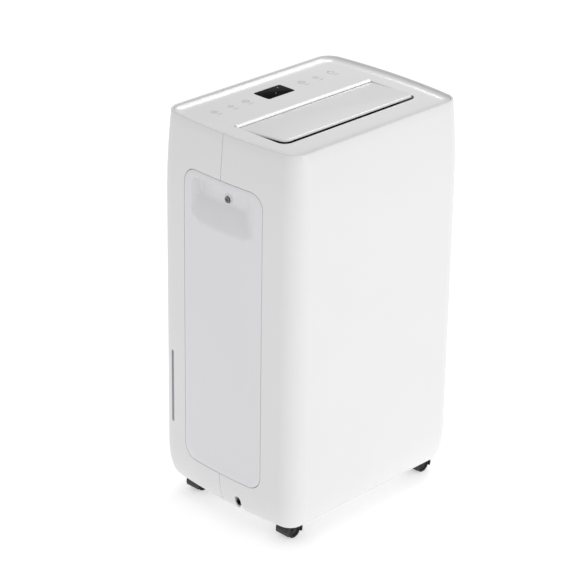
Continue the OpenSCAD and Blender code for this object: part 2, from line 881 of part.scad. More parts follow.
module compressor() {
    color("dimgray")
    difference() {
        translate([comp_x, comp_y, comp_z])
            rotate_extrude($fn = 96)
                polygon(concat([[0, 0]], [[compressor_r + 4, 0], [compressor_r + 4, 4], [compressor_r, 4]],
                    arc(compressor_r - 20, comp_h - 20, 20, 0, 90, 0, 6, 6), [[0, comp_h]]));
        for (p = foot_ring)
            translate([p[0], p[1], comp_z - 1])
                cylinder(r = 3.6, h = 16);
    }
}

module compressor_grommets() {
    color("black")
    for (p = foot_ring)
        translate([p[0], p[1], ride_h + pan_t])
            difference() {
                cylinder(r = 8, h = 13.9);
                translate([0, 0, -1])
                    cylinder(r = 3.2, h = 20);
            }
}

module compressor_nuts() {
    color("silver")
    for (p = foot_ring)
        translate([p[0], p[1], ride_h + pan_t + 0.1])
            cylinder(r = 3, h = 24);
}

module accumulator() {
    color("dimgray")
    translate([comp_x + compressor_r + 30, comp_y - 4, comp_z + 30])
        rotate_extrude()
            polygon(concat([[0, 0]], arc(8, 8, 14, -65, 0, 0, 4, 4), arc(8, 106, 14, 0, 65, 0, 4, 4), [[0, 119]]));
}

// Hot gas line: up through the shelf, back behind it, then level with its place on the condenser
module discharge_pipe() {
    inlet_z = coil_z + 106;
    run_z = max(inlet_z, shelf_z + 19);
    y = cond_y + coil_t / 2;
    color("peru")
    pipe(concat([[comp_x - 20, comp_y, comp_z + comp_h], [comp_x - 20, comp_y, comp_z + comp_h + 12],
        [-corner_cx + 4, comp_y, comp_z + comp_h + 12], [-corner_cx + 4, comp_y, run_z],
        [-corner_cx + 4, y, run_z]], run_z > inlet_z ? [[-corner_cx + 4, y, inlet_z]] : [],
        [[-coil_w / 2, y, inlet_z]]), 2.4);
}

// Cold gas line: from the evaporator over the shelf's edge, then down through it to the accumulator
module suction_pipe() {
    outlet_z = coil_z + 46;
    run_z = max(outlet_z, shelf_z + 19);
    x = comp_x + compressor_r + 30;
    y = evap_y + coil_t / 2;
    color("peru")
    pipe(concat([[x, comp_y - 4, comp_z + 149], [x, comp_y - 4, comp_z + comp_h + 12],
        [corner_cx - 4, comp_y - 4, comp_z + comp_h + 12], [corner_cx - 4, comp_y - 4, run_z],
        [corner_cx - 4, y, run_z]], run_z > outlet_z ? [[corner_cx - 4, y, outlet_z]] : [],
        [[coil_w / 2 - coil_pitch + 10.5, y, outlet_z]]), 4);
}

// ---- fan ----

// Housing round the fan wheel, open upwards, with side bosses for the grip screws
module fan_scroll() {
    boss_x = pocket_x - 2.3;
    color("gainsboro")
    difference() {
        union() {
            rod_y(house_y0, house_y1, 0, fan_z, house_r);
            block([-duct_x, house_y0, fan_z], [duct_x, house_y1, duct_z]);
            for (side = [-1, 1])
                rod_x(side > 0 ? duct_x - 1 : -boss_x, side > 0 ? boss_x : 1 - duct_x,
                      seam_y, side_screw_z, 6);
        }
        rod_y(house_y0 + house_t, house_y1 - house_t, 0, fan_z, house_r - house_t);
        block([-duct_x + house_t + 2, house_y0 + house_t, fan_z + 1],
              [duct_x - house_t - 2, house_y1 - house_t, duct_z + 1]);
        rod_y(house_y1 - 5, house_y1 + 1, 0, fan_z, fan_r - 20);
        rod_y(house_y0 - 1, house_y0 + 4, 0, fan_z, fan_shaft_r + 2);
        for (p = motor_ring)
            rod_y(house_y0 - 1, house_y0 + 4, p[0], p[1], screw_r + 0.3);
        for (side = [-1, 1])
            rod_x(side > 0 ? duct_x + 0.5 : -boss_x - 1, side > 0 ? boss_x + 1 : -duct_x - 0.5,
                  seam_y, side_screw_z, 2.1);
    }
}

// Plenum between the coils and the fan's inlet
module fan_shroud() {
    color("gainsboro")
    difference() {
        block([-coil_w / 2 - 3, house_y1 + 0.4, tray_z + tray_h + 0.5],
              [coil_w / 2 + 3, cond_y - 0.6, coil_z + coil_h]);
        block([-coil_w / 2 - 1, house_y1 + 2.4, tray_z + tray_h + 2.5],
              [coil_w / 2 + 1, cond_y + 1, coil_z + coil_h - 2]);
        rod_y(house_y1 - 1, house_y1 + 4, 0, fan_z, fan_r - 18);
    }
}

module fan_wheel() {
    y0 = house_y0 + 6;
    blades = 30;
    color("white")
    difference() {
        union() {
            rod_y(y0, y0 + 3, 0, fan_z, fan_r);
            rod_y(y0, y0 + 20, 0, fan_z, fan_shaft_r + 7);
            difference() {
                rod_y(y0 + fan_depth - 3, y0 + fan_depth, 0, fan_z, fan_r);
                rod_y(y0 + fan_depth - 5, y0 + fan_depth + 1, 0, fan_z, fan_r - 15);
            }
            for (i = [0 : blades - 1])
                translate([0, y0 + 1, fan_z])
                    rotate([0, i * 360 / blades, 0])
                        translate([fan_r - 14, 0, 0])
                            rotate([0, 35, 0])
                                cube([13, fan_depth - 2, 1.6]);
        }
        rod_y(y0 - 1, y0 + 21, 0, fan_z, fan_shaft_r);
    }
}

module fan_shaft() {
    color("silver")
    rod_y(house_y0 - motor_l + 6, house_y0 + 34, 0, fan_z, fan_shaft_r);
}

module fan_nut() {
    color("silver")
    difference() {
        translate([0, house_y0 + 32.6, fan_z])
            rotate([90, 0, 0])
                cylinder(r = fan_shaft_r * 1.8, h = 6, $fn = 6);
        rod_y(house_y0 + 20, house_y0 + 40, 0, fan_z, fan_shaft_r);
    }
}

module fan_motor() {
    y1 = house_y0 - 1.6;
    color("silver")
    difference() {
        union() {
            rod_y(y1 - motor_l, y1 - 2, 0, fan_z, motor_r - 4);
            rod_y(y1 - 6, y1, 0, fan_z, motor_r);
        }
        rod_y(y1 - motor_l + 6, y1 + 1, 0, fan_z, fan_shaft_r + running);
        for (p = motor_ring)
            rod_y(y1 - 20, y1 + 1, p[0], p[1], screw_r + 0.3);
    }
}

module motor_screws() {
    color("dimgray")
    for (p = motor_ring)
        union() {
            rod_y(house_y0 + house_t + 0.05, house_y0 + house_t + 2, p[0], p[1], 2 * screw_r);
            rod_y(house_y0 - 16, house_y0 + house_t + 1, p[0], p[1], screw_r);
        }
}

// ---- electrics ----

module power_box() {
    color("dimgray")
    difference() {
        block([58, -in_y + 8, ride_h + 48], [corner_cx, -in_y + 44, ride_h + 180]);
        block([60, -in_y + 10, ride_h + 50], [corner_cx - 2, -in_y + 42, ride_h + 178]);
    }
}

module capacitor() {
    color("gray")
    translate([84, -22, ride_h + pan_t + 0.4])
        cylinder(r = 20, h = 74);
}

module humidity_sensor() {
    color("white")
    block([coil_w / 2 + 5, tray_y1 - 8, coil_z + 40], [coil_w / 2 + 17, tray_y1 - 2, coil_z + 62]);
}

// ---- casters ----

// Swivelling hood with its stem, over one pair of wheels
module caster_hood(x, y) {
    hood_w = 2 * wheel_w + 8;
    web_t = 3.2;
    color("black")
    translate([x, y, 0])
        difference() {
            union() {
                translate([0, 0, ride_h - 2])
                    cylinder(r = stem_r, h = socket_h - 2.5);
                translate([0, 0, ride_h - 6])
                    cylinder(r = stem_r + 4, h = 5.4);
                translate([trail, hood_w / 2, wheel_r])
                    rotate([90, 0, 0])
                        linear_extrude(hood_w)
                            difference() {
                                circle(r = wheel_r + 2.6);
                                translate([-2 * wheel_r, -4.5 - 2 * wheel_r])
                                    square([4 * wheel_r, 2 * wheel_r]);
                            }
            }
            rod_y(-5, 5, trail, wheel_r, 1.5 + running);
            // wheel wells on both sides of the middle web
            for (side = [-1, 1])
                rod_y(side > 0 ? web_t / 2 : -hood_w, side > 0 ? hood_w : -web_t / 2,
                      trail, wheel_r, wheel_r + 0.8);
        }
}

// Two wheels on one axle
module caster_wheels(x, y) {
    color("dimgray")
    union() {
        rod_y(y - wheel_w - 1.6, y + wheel_w + 1.6, x + trail, wheel_r, 1.5);
        for (side = [-1, 1])
            difference() {
                rod_y(side > 0 ? y + 2.4 : y - 2.4 - wheel_w, side > 0 ? y + 2.4 + wheel_w : y - 2.4,
                      x + trail, wheel_r, wheel_r);
                difference() {
                    rod_y(side > 0 ? y + 2.4 + wheel_w - 1.5 : y - 3.4 - wheel_w,
                          side > 0 ? y + 3.4 + wheel_w : y - 0.9 - wheel_w, x + trail, wheel_r, wheel_r - 2.5);
                    rod_y(side > 0 ? y : y - 30, side > 0 ? y + 30 : y, x + trail, wheel_r, 3);
                }
            }
    }
}

module caster_hood_fl() { caster_hood(-caster_x, -caster_y); }
module caster_hood_fr() { caster_hood(caster_x, -caster_y); }
module caster_hood_rl() { caster_hood(-caster_x, caster_y); }
module caster_hood_rr() { caster_hood(caster_x, caster_y); }
module caster_wheels_fl() { caster_wheels(-caster_x, -caster_y); }
module caster_wheels_fr() { caster_wheels(caster_x, -caster_y); }
module caster_wheels_rl() { caster_wheels(-caster_x, caster_y); }
module caster_wheels_rr() { caster_wheels(caster_x, caster_y); }

front_shell();
rear_shell();
left_side_panel();
right_side_panel();
side_screws();
base_pan();
base_screws();
top_cover();
hinge_strip();
outlet_flap();
flap_pins();
outlet_grille();
outlet_duct();
display_lens();
display_board();
touch_springs();
rear_grille();
filter_frame();
filter_mesh();
level_windows();
water_tank();
tank_front();
tank_lid();
tank_handle();
tank_float();
tank_rails();
tank_sensor();
bulkhead();
drip_tray();
drain_spout();
drain_plug();
evaporator();
condenser();
mid_plate();
compressor();
compressor_grommets();
compressor_nuts();
accumulator();
discharge_pipe();
suction_pipe();
fan_scroll();
fan_shroud();
fan_wheel();
fan_shaft();
fan_nut();
fan_motor();
motor_screws();
power_box();
capacitor();
humidity_sensor();
cord_gland();
caster_hood_fl();
caster_hood_fr();
caster_hood_rl();
caster_hood_rr();
caster_wheels_fl();
caster_wheels_fr();
caster_wheels_rl();
caster_wheels_rr();
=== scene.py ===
import math

import bmesh
import bpy
from mathutils import Matrix, Vector


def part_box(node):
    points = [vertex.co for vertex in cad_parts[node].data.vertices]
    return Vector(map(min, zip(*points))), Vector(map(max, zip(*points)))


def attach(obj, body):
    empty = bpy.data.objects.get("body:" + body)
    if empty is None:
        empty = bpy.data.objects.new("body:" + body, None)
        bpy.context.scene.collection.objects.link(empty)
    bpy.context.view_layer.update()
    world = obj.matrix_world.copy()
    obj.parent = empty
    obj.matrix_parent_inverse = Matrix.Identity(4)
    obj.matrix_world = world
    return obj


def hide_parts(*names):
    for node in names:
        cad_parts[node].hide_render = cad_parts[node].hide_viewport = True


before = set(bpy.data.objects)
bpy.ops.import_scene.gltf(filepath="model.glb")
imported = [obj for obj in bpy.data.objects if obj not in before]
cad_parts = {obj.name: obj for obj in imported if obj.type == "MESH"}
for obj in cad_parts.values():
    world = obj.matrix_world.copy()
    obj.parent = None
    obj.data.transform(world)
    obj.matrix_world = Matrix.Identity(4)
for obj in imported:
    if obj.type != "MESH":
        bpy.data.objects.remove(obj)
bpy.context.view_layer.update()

# ---- Casing: front and rear shells ----
# The cabinet is two deep white ABS shells, injection moulded with a 3.2 mm wall and a fine satin grain.
# They meet on a plain seam half way along each side, and screws from below hold them to the base pan.
mm = 0.001
shell_lo, shell_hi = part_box("front_shell")
rear_lo, rear_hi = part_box("rear_shell")
body_x = shell_hi[0]
body_y = rear_hi[1]
foot_z = shell_lo[2]
rim_z = shell_hi[2]
wall = 3.2 * mm
seam_y = (shell_hi[1] + rear_lo[1]) / 2
seam_gap = rear_lo[1] - shell_hi[1]
corner_r = 28 * mm
side_bow = 5.6 * mm
side_a = 2 * math.atan(side_bow / (body_y - corner_r))
side_r = corner_r + (body_y - corner_r) / math.sin(side_a)
side_cx = body_x - side_r
corner_cx = side_cx + (side_r - corner_r) * math.cos(side_a)
corner_cy = body_y - corner_r
foot_in = 13.7 * mm
foot_h = 45.7 * mm
lean_in = 5.8 * mm
lean_h = 109 * mm
side_cut = (120 * mm, 170 * mm)     # from inside to outside of a side wall
rear_cut = (90 * mm, 140 * mm)      # the same for the rear wall


def start_clean():
    if bpy.context.object and bpy.context.object.mode != "OBJECT":
        bpy.ops.object.mode_set(mode="OBJECT")
    bpy.ops.object.select_all(action="DESELECT")


def hold(piece):
    """Makes one piece the only selected one, and the active one."""
    start_clean()
    piece.select_set(True)
    bpy.context.view_layer.objects.active = piece


def edit(piece, kind="FACE"):
    """Opens a piece for editing with nothing selected."""
    hold(piece)
    bpy.ops.object.mode_set(mode="EDIT")
    bpy.ops.mesh.select_mode(type=kind)
    bpy.ops.mesh.select_all(action="DESELECT")


def pick_faces(piece, test):
    """Selects the faces that pass a test on their middle and normal."""
    mesh = bmesh.from_edit_mesh(piece.data)
    for face in mesh.faces:
        face.select_set(test(face.calc_center_median(), face.normal))
    bmesh.update_edit_mesh(piece.data)


def pick_edges(piece, test):
    """Selects the edges that pass a test on their middle and direction."""
    mesh = bmesh.from_edit_mesh(piece.data)
    for edge in mesh.edges:
        a, b = edge.verts[0].co, edge.verts[1].co
        edge.select_set(test((a + b) / 2, (b - a).normalized()))
    bmesh.update_edit_mesh(piece.data)


def apply_modifiers(piece):
    hold(piece)
    for name in [m.name for m in piece.modifiers]:
        bpy.ops.object.modifier_apply(modifier=name)


def casing_inset(z):
    """How far the casing's side lies in from its full plan at a height."""
    if z > rim_z - lean_h:
        return lean_in * ((z - rim_z + lean_h) / lean_h) ** 2
    if z < foot_z + foot_h:
        return foot_in * (1 - math.sqrt(max(0, 1 - ((foot_z + foot_h - z) / foot_h) ** 2)))
    return 0


def plan_ring(name, z, draw_in):
    """The casing's plan outline as a ring of edges: bowed sides, round corners, straight front and rear."""
    start_clean()
    bpy.ops.mesh.primitive_plane_add(size=mm, location=(0, 0, z))
    ring = bpy.context.object
    ring.name = name
    ring.data.name = name
    bpy.ops.object.transform_apply()
    edit(ring, "VERT")
    bpy.ops.mesh.select_all(action="SELECT")
    bpy.ops.mesh.merge(type="CENTER")
    bpy.ops.transform.translate(value=(body_x - draw_in, 0, 0))
    bpy.ops.mesh.spin(steps=10, angle=-side_a, center=(side_cx, 0, z), axis=(0, 0, 1))
    bpy.ops.mesh.spin(steps=12, angle=side_a - math.pi / 2, center=(corner_cx, corner_cy, z), axis=(0, 0, 1))
    bpy.ops.mesh.extrude_region_move(TRANSFORM_OT_translate={"value": (-corner_cx, 0, 0)})
    bpy.ops.object.mode_set(mode="OBJECT")
    bpy.ops.object.modifier_add(type="MIRROR")
    ring.modifiers[0].use_axis = (True, True, False)
    ring.modifiers[0].merge_threshold = 0.01 * mm
    apply_modifiers(ring)
    return ring


def casing_skin(name, draw_in, thick, rows=2):
    """The casing's form, rounded in at the foot and leaning in at the top: a wall, or a solid if thick is 0."""
    foot_steps = [foot_z + foot_h * (1 - math.cos(math.radians(a))) for a in range(9, 90, 9)]
    lean_steps = [rim_z - lean_h * (1 - i / 8) for i in range(9)]
    straight = rim_z - lean_h - foot_z - foot_h
    straight_steps = [foot_z + foot_h + straight * i / rows for i in range(rows)]
    levels = [foot_z] + foot_steps + straight_steps + lean_steps
    skin = plan_ring(name, foot_z, draw_in)
    edit(skin, "EDGE")
    bpy.ops.mesh.select_all(action="SELECT")
    for low, high in zip(levels, levels[1:]):
        bpy.ops.mesh.extrude_edges_move(TRANSFORM_OT_translate={"value": (0, 0, high - low)})
    bpy.ops.mesh.select_all(action="SELECT")
    bpy.ops.mesh.normals_make_consistent(inside=False)
    bpy.ops.object.mode_set(mode="OBJECT")
    outward = [v.normal.copy() for v in skin.data.vertices]
    for v, out in zip(skin.data.vertices, outward):
        v.co -= out * casing_inset(v.co.z)
    if thick:
        solid = skin.modifiers.new("wall", "SOLIDIFY")
        solid.thickness = thick
        solid.offset = -1
        solid.use_even_offset = True
        apply_modifiers(skin)
        return skin
    edit(skin, "EDGE")
    for z in (foot_z, rim_z):
        pick_edges(skin, lambda mid, way: abs(mid.z - z) < 0.01 * mm)
        bpy.ops.mesh.edge_face_add()
        bpy.ops.mesh.select_all(action="DESELECT")
    bpy.ops.mesh.select_all(action="SELECT")
    bpy.ops.mesh.normals_make_consistent(inside=False)
    start_clean()
    return skin


def rounded_block(name, lo, hi, r=0, axis=0, steps=8):
    """A block given by its corners, with the edges along one axis rounded."""
    start_clean()
    middle = [(a + b) / 2 for a, b in zip(lo, hi)]
    bpy.ops.mesh.primitive_cube_add(size=1, location=middle)
    block = bpy.context.object
    block.name = name
    block.data.name = name
    block.scale = [b - a for a, b in zip(lo, hi)]
    bpy.ops.object.transform_apply()
    if r:
        edit(block, "EDGE")
        pick_edges(block, lambda mid, way: abs(way[axis]) > 0.9)
        bpy.ops.mesh.bevel(offset=r, segments=steps, affect="EDGES")
    start_clean()
    return block


def round_bar(name, centre, r, length, axis, sides=48):
    """A cylinder along one axis, given by its middle."""
    start_clean()
    turn = {0: (0, math.pi / 2, 0), 1: (math.pi / 2, 0, 0), 2: (0, 0, 0)}[axis]
    bpy.ops.mesh.primitive_cylinder_add(vertices=sides, radius=r, depth=length, location=centre, rotation=turn)
    bar = bpy.context.object
    bar.name = name
    bar.data.name = name
    bpy.ops.object.transform_apply()
    return bar


def combine(piece, tool, how="DIFFERENCE"):
    """Cuts a piece with a tool, joins them or keeps what they share, and throws the tool away."""
    boolean = piece.modifiers.new("cut", "BOOLEAN")
    boolean.object = tool
    boolean.operation = how
    boolean.solver = "EXACT"
    apply_modifiers(piece)
    bpy.data.objects.remove(tool)


def copy_piece(piece, name):
    twin = piece.copy()
    twin.data = piece.data.copy()
    twin.name = name
    twin.data.name = name
    bpy.context.collection.objects.link(twin)
    return twin


def soften(piece, width, angle=40, steps=2):
    """Rounds a piece's sharp edges."""
    bevel = piece.modifiers.new("edges", "BEVEL")
    bevel.width = width
    bevel.segments = steps
    bevel.limit_method = "ANGLE"
    bevel.angle_limit = math.radians(angle)
    apply_modifiers(piece)


def finish_piece(piece, material, body, replaced=(), angle=35):
    """Shades a finished piece, gives it its material, and sets it in the frame."""
    hold(piece)
    bpy.ops.object.shade_smooth_by_angle(angle=math.radians(angle))
    piece.data.materials.clear()
    piece.data.materials.append(material)
    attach(piece, body)
    if replaced:
        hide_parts(*replaced)


def link(tree, out, into):
    tree.links.new(out, into)


def moulded_plastic(name, colour, rough, shift=0.02, grain=0.9, depth=0.012, coat=0.0):
    """Moulded plastic: a fine spark-eroded grain, slight clouding of the colour and uneven gloss."""
    mat = bpy.data.materials.new(name)
    mat.use_nodes = True
    tree = mat.node_tree
    shader = tree.nodes["Principled BSDF"]
    shader.inputs["Coat Weight"].default_value = coat
    shader.inputs["Coat Roughness"].default_value = 0.12
    shader.inputs["IOR"].default_value = 1.5
    place = tree.nodes.new("ShaderNodeTexCoord")
    cloud = tree.nodes.new("ShaderNodeTexNoise")
    cloud.inputs["Scale"].default_value = 9
    cloud.inputs["Detail"].default_value = 3
    link(tree, place.outputs["Object"], cloud.inputs["Vector"])
    tint = tree.nodes.new("ShaderNodeMix")
    tint.data_type = "RGBA"
    tint.inputs["A"].default_value = [c * (1 - shift) for c in colour] + [1]
    tint.inputs["B"].default_value = [min(1, c * (1 + shift)) for c in colour] + [1]
    link(tree, cloud.outputs["Fac"], tint.inputs["Factor"])
    link(tree, tint.outputs["Result"], shader.inputs["Base Color"])
    speck = tree.nodes.new("ShaderNodeTexNoise")
    speck.inputs["Scale"].default_value = 1000 / grain
    speck.inputs["Detail"].default_value = 2
    link(tree, place.outputs["Object"], speck.inputs["Vector"])
    gloss = tree.nodes.new("ShaderNodeMapRange")
    gloss.inputs["To Min"].default_value = rough - 0.05
    gloss.inputs["To Max"].default_value = rough + 0.05
    link(tree, cloud.outputs["Fac"], gloss.inputs["Value"])
    link(tree, gloss.outputs["Result"], shader.inputs["Roughness"])
    bump = tree.nodes.new("ShaderNodeBump")
    bump.inputs["Strength"].default_value = 0.6
    bump.inputs["Distance"].default_value = depth * mm
    link(tree, speck.outputs["Fac"], bump.inputs["Height"])
    link(tree, bump.outputs["Normal"], shader.inputs["Normal"])
    return mat


white_abs = moulded_plastic("white_abs", (0.8, 0.8, 0.807), 0.42)
panel_y0, panel_y1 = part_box("left_side_panel")[0][1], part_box("left_side_panel")[1][1]
panel_z0, panel_z1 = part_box("left_side_panel")[0][2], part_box("left_side_panel")[1][2]
panel_gap = 0.8 * mm
panel_r = 20 * mm

casing = casing_skin("front_casing", 0, wall)
edit(casing)
pick_faces(casing, lambda mid, n: abs(n.z) > 0.95)
bpy.ops.mesh.region_to_loop()
bpy.ops.mesh.bevel(offset=0.9 * mm, segments=3, affect="EDGES")
start_clean()
for side in (-1, 1):
    x0, x1 = sorted(side * x for x in side_cut)
    combine(casing, rounded_block("window", (x0, panel_y0 - panel_gap, panel_z0 - panel_gap),
                                  (x1, panel_y1 + panel_gap, panel_z1 + panel_gap), panel_r))
rear_casing = copy_piece(casing, "rear_casing")

# the front half stops at the seam
edit(casing)
bpy.ops.mesh.select_all(action="SELECT")
bpy.ops.mesh.bisect(plane_co=(0, seam_y - seam_gap / 2, 0), plane_no=(0, 1, 0), use_fill=True, clear_outer=True)
start_clean()
gland_lo, gland_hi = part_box("cord_gland")
gland_y = (gland_lo[1] + gland_hi[1]) / 2
notch_w, notch_top = 10 * mm, 22 * mm
combine(casing, rounded_block("notch", (-side_cut[1], gland_y - notch_w / 2, foot_z - 12 * mm),
                              (-128 * mm, gland_y + notch_w / 2, foot_z + notch_top), 4.95 * mm))
finish_piece(casing, white_abs, "cabinet", ["front_shell"])

# the rear half is open for the tank, the intake, the drain and the level windows
edit(rear_casing)
bpy.ops.mesh.select_all(action="SELECT")
bpy.ops.mesh.bisect(plane_co=(0, seam_y + seam_gap / 2, 0), plane_no=(0, 1, 0), use_fill=True, clear_inner=True)
start_clean()
tank_lo, tank_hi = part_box("tank_front")
grille_lo, grille_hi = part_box("rear_grille")
plug_lo, plug_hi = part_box("drain_plug")
spout_x = (plug_lo[0] + plug_hi[0]) / 2
spout_z = (plug_lo[2] + plug_hi[2]) / 2
window_lo, window_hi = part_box("level_windows")
for name, lo, hi, gap in (("tank_bay", tank_lo, tank_hi, 0.8 * mm), ("intake", grille_lo, grille_hi, 0.6 * mm)):
    combine(rear_casing, rounded_block(name, (lo[0] - gap, rear_cut[0], lo[2] - gap),
                                       (hi[0] + gap, rear_cut[1], hi[2] + gap), 3 * mm, 1, 4))
drain_r = 11 * mm
combine(rear_casing, round_bar("drain_hole", (spout_x, sum(rear_cut) / 2, spout_z), drain_r,
                               rear_cut[1] - rear_cut[0], 1, 64))
slot_gap = 0.15 * mm
for side in (-1, 1):
    x0, x1 = sorted(side * x for x in side_cut)
    combine(rear_casing, rounded_block("slot", (x0, window_lo[1] - slot_gap, window_lo[2] - slot_gap),
                                       (x1, window_hi[1] + slot_gap, window_hi[2] + slot_gap), 2 * mm, 0, 4))
finish_piece(rear_casing, white_abs, "cabinet", ["rear_shell"])

# ---- Side panels ----
# A thin white ABS panel clips flush into the window in each side. Its top is moulded into a grip pocket,
# scooped at the front for the fingers, with a boss round the screw that holds the panel to the fan housing.
panel_lo, panel_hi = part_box("left_side_panel")
screw_lo, screw_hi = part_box("side_screws")
screw_z = (screw_lo[2] + screw_hi[2]) / 2
pocket_x = screw_hi[0] - 2.9 * mm
pocket_y0, pocket_y1 = seam_y - 60 * mm, seam_y + 52 * mm
pocket_z1 = panel_hi[2] + panel_gap - 8 * mm
pocket_z0 = pocket_z1 - 56 * mm
front_slope, rear_slope, foot_slope = 28 * mm, 6 * mm, 30 * mm    # how far each wall of the pocket leans in
liner_t = 2 * mm


def pocket_form(name, out):
    """The grip pocket's room: deep under its top edge, sloping out to its foot and to its front."""
    room = rounded_block(name, (pocket_x - out, pocket_y0 - out, pocket_z0 - out),
                         (body_x, pocket_y1 + out, pocket_z1 + out), 9 * mm + out)
    for way, test in (((0, front_slope, 0), lambda co: co.y < 0), ((0, -rear_slope, 0), lambda co: co.y > 0),
                      ((0, 0, foot_slope), lambda co: co.z < (pocket_z0 + pocket_z1) / 2)):
        edit(room, "VERT")
        mesh = bmesh.from_edit_mesh(room.data)
        for v in mesh.verts:
            v.select_set(v.co.x < pocket_x + mm and test(v.co))
        bmesh.update_edit_mesh(room.data)
        bpy.ops.transform.translate(value=way)
    bpy.ops.mesh.select_mode(type="EDGE")
    pick_edges(room, lambda mid, way: mid.x < pocket_x - out + 0.1 * mm and abs(way.x) < 0.1)
    bpy.ops.mesh.bevel(offset=3 * mm, segments=4, affect="EDGES")
    bpy.ops.mesh.select_mode(type="FACE")
    pick_faces(room, lambda mid, n: mid.x > body_x - 0.1 * mm and n.x > 0.9)
    bpy.ops.transform.translate(value=(mm, 0, 0))
    start_clean()
    return room


def panel_plastic():
    """The panel's satin grain over very shallow upright flutes in its lower part."""
    mat = moulded_plastic("panel_abs", (0.79, 0.79, 0.806), 0.45)
    tree = mat.node_tree
    place = tree.nodes["Texture Coordinate"]
    bump = tree.nodes["Bump"]
    flutes = tree.nodes.new("ShaderNodeTexWave")
    flutes.bands_direction = "Y"
    flutes.inputs["Scale"].default_value = 52
    link(tree, place.outputs["Object"], flutes.inputs["Vector"])
    parts = tree.nodes.new("ShaderNodeSeparateXYZ")
    link(tree, place.outputs["Object"], parts.inputs["Vector"])
    fade = tree.nodes.new("ShaderNodeMapRange")
    fade.inputs["From Min"].default_value = 0.30
    fade.inputs["From Max"].default_value = 0.36
    fade.inputs["To Min"].default_value = 1
    fade.inputs["To Max"].default_value = 0
    link(tree, parts.outputs["Z"], fade.inputs["Value"])
    shallow = tree.nodes.new("ShaderNodeMath")
    shallow.operation = "MULTIPLY"
    link(tree, flutes.outputs["Fac"], shallow.inputs[0])
    link(tree, fade.outputs["Result"], shallow.inputs[1])
    flute_bump = tree.nodes.new("ShaderNodeBump")
    flute_bump.inputs["Strength"].default_value = 0.5
    flute_bump.inputs["Distance"].default_value = 0.03 * mm
    link(tree, shallow.outputs["Value"], flute_bump.inputs["Height"])
    link(tree, bump.outputs["Normal"], flute_bump.inputs["Normal"])
    link(tree, flute_bump.outputs["Normal"], tree.nodes["Principled BSDF"].inputs["Normal"])
    return mat


panel_abs = panel_plastic()
panel = casing_skin("right_panel", 0, wall - 0.2 * mm, rows=40)
combine(panel, rounded_block("panel_outline", (side_cut[0], panel_lo[1], panel_lo[2]),
                             (side_cut[1], panel_hi[1], panel_hi[2]), panel_r - panel_gap), "INTERSECT")
soften(panel, 0.5 * mm, 50)
liner = pocket_form("liner", liner_t)
combine(liner, casing_skin("form", 0.8 * mm, 0), "INTERSECT")
combine(panel, liner, "UNION")
combine(panel, pocket_form("pocket", 0))
boss_r, screw_seat_r, screw_hole_r = 6 * mm, 4.6 * mm, 2.4 * mm
boss = round_bar("boss", (pocket_x + 0.6 * mm, seam_y, screw_z), boss_r, 1.8 * mm, 0, 64)
soften(boss, 0.4 * mm)
combine(panel, boss, "UNION")
combine(panel, round_bar("seat", (pocket_x + 1.6 * mm, seam_y, screw_z), screw_seat_r, 3.1 * mm, 0, 64))
combine(panel, round_bar("bore", (pocket_x, seam_y, screw_z), screw_hole_r, 20 * mm, 0, 32))
left_panel = copy_piece(panel, "left_panel")
hold(left_panel)
left_panel.scale = (-1, 1, 1)
bpy.ops.object.transform_apply()
edit(left_panel)
bpy.ops.mesh.select_all(action="SELECT")
bpy.ops.mesh.normals_make_consistent(inside=False)
start_clean()
finish_piece(panel, panel_abs, "cabinet", ["right_side_panel"])
finish_piece(left_panel, panel_abs, "cabinet", ["left_side_panel"])

# ---- Control deck ----
# The deck is one pale ABS moulding, dropped in from above so that its lip stands against the shells' rim.
# A soft hollow leads from the lip down to the flat, which is open over the outlet well and sunk for the lens.
lip_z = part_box("top_cover")[1][2]
lens_lo, lens_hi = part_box("display_lens")
deck_z = rim_z - 4.5 * mm
deck_t = 3 * mm
lip_in = lean_in + wall + 0.4 * mm
guard_lo, guard_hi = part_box("outlet_grille")
well_x = guard_hi[0] + 0.4 * mm
well_y0, well_y1 = guard_lo[1] - 0.4 * mm, guard_hi[1] + 0.4 * mm
well_r = 12 * mm
axis_y, axis_z = -2 * mm, deck_z - 6.4 * mm
deck_abs = moulded_plastic("deck_abs", (0.83, 0.83, 0.84), 0.3, coat=0.5)


def well_block(name, out, z0, z1):
    """The outlet well's plan: square at the hinge side, round corners at the free edge."""
    block = rounded_block(name, (-well_x - out, well_y0 - out, z0), (well_x + out, well_y1 + out, z1))
    edit(block, "EDGE")
    pick_edges(block, lambda mid, way: abs(way.z) > 0.9 and mid.y < 0)
    bpy.ops.mesh.bevel(offset=well_r + out, segments=10, affect="EDGES")
    start_clean()
    return block


deck = plan_ring("deck", deck_z - deck_t, lip_in)
edit(deck, "EDGE")
bpy.ops.mesh.select_all(action="SELECT")
bpy.ops.mesh.edge_face_add()
lip_round = 0.3 * mm
deck_rise = lip_z - lip_round - deck_z + deck_t
bpy.ops.mesh.extrude_region_move(TRANSFORM_OT_translate={"value": (0, 0, deck_rise)})
bpy.ops.mesh.select_all(action="SELECT")
bpy.ops.mesh.normals_make_consistent(inside=False)
bpy.ops.mesh.select_mode(type="FACE")
pick_faces(deck, lambda mid, n: n.z > 0.9)
bpy.ops.mesh.inset(thickness=0.4 * mm, depth=lip_round)
bpy.ops.mesh.inset(thickness=0.4 * mm, depth=0)
hollow_w = 15 * mm
hollow_d = lip_z - deck_z
turns = [math.radians(9 * i) for i in range(11)]
for a, b in zip(turns, turns[1:]):
    bpy.ops.mesh.inset(thickness=hollow_w * (math.cos(a) - math.cos(b)),
                       depth=-hollow_d * (math.sin(b) - math.sin(a)))
start_clean()
combine(deck, well_block("well_wall", 2 * mm, deck_z - 19 * mm, deck_z - 0.4 * mm), "UNION")
combine(deck, well_block("well", 0, deck_z - 30 * mm, deck_z + 10 * mm))
lens_gap = 0.5 * mm
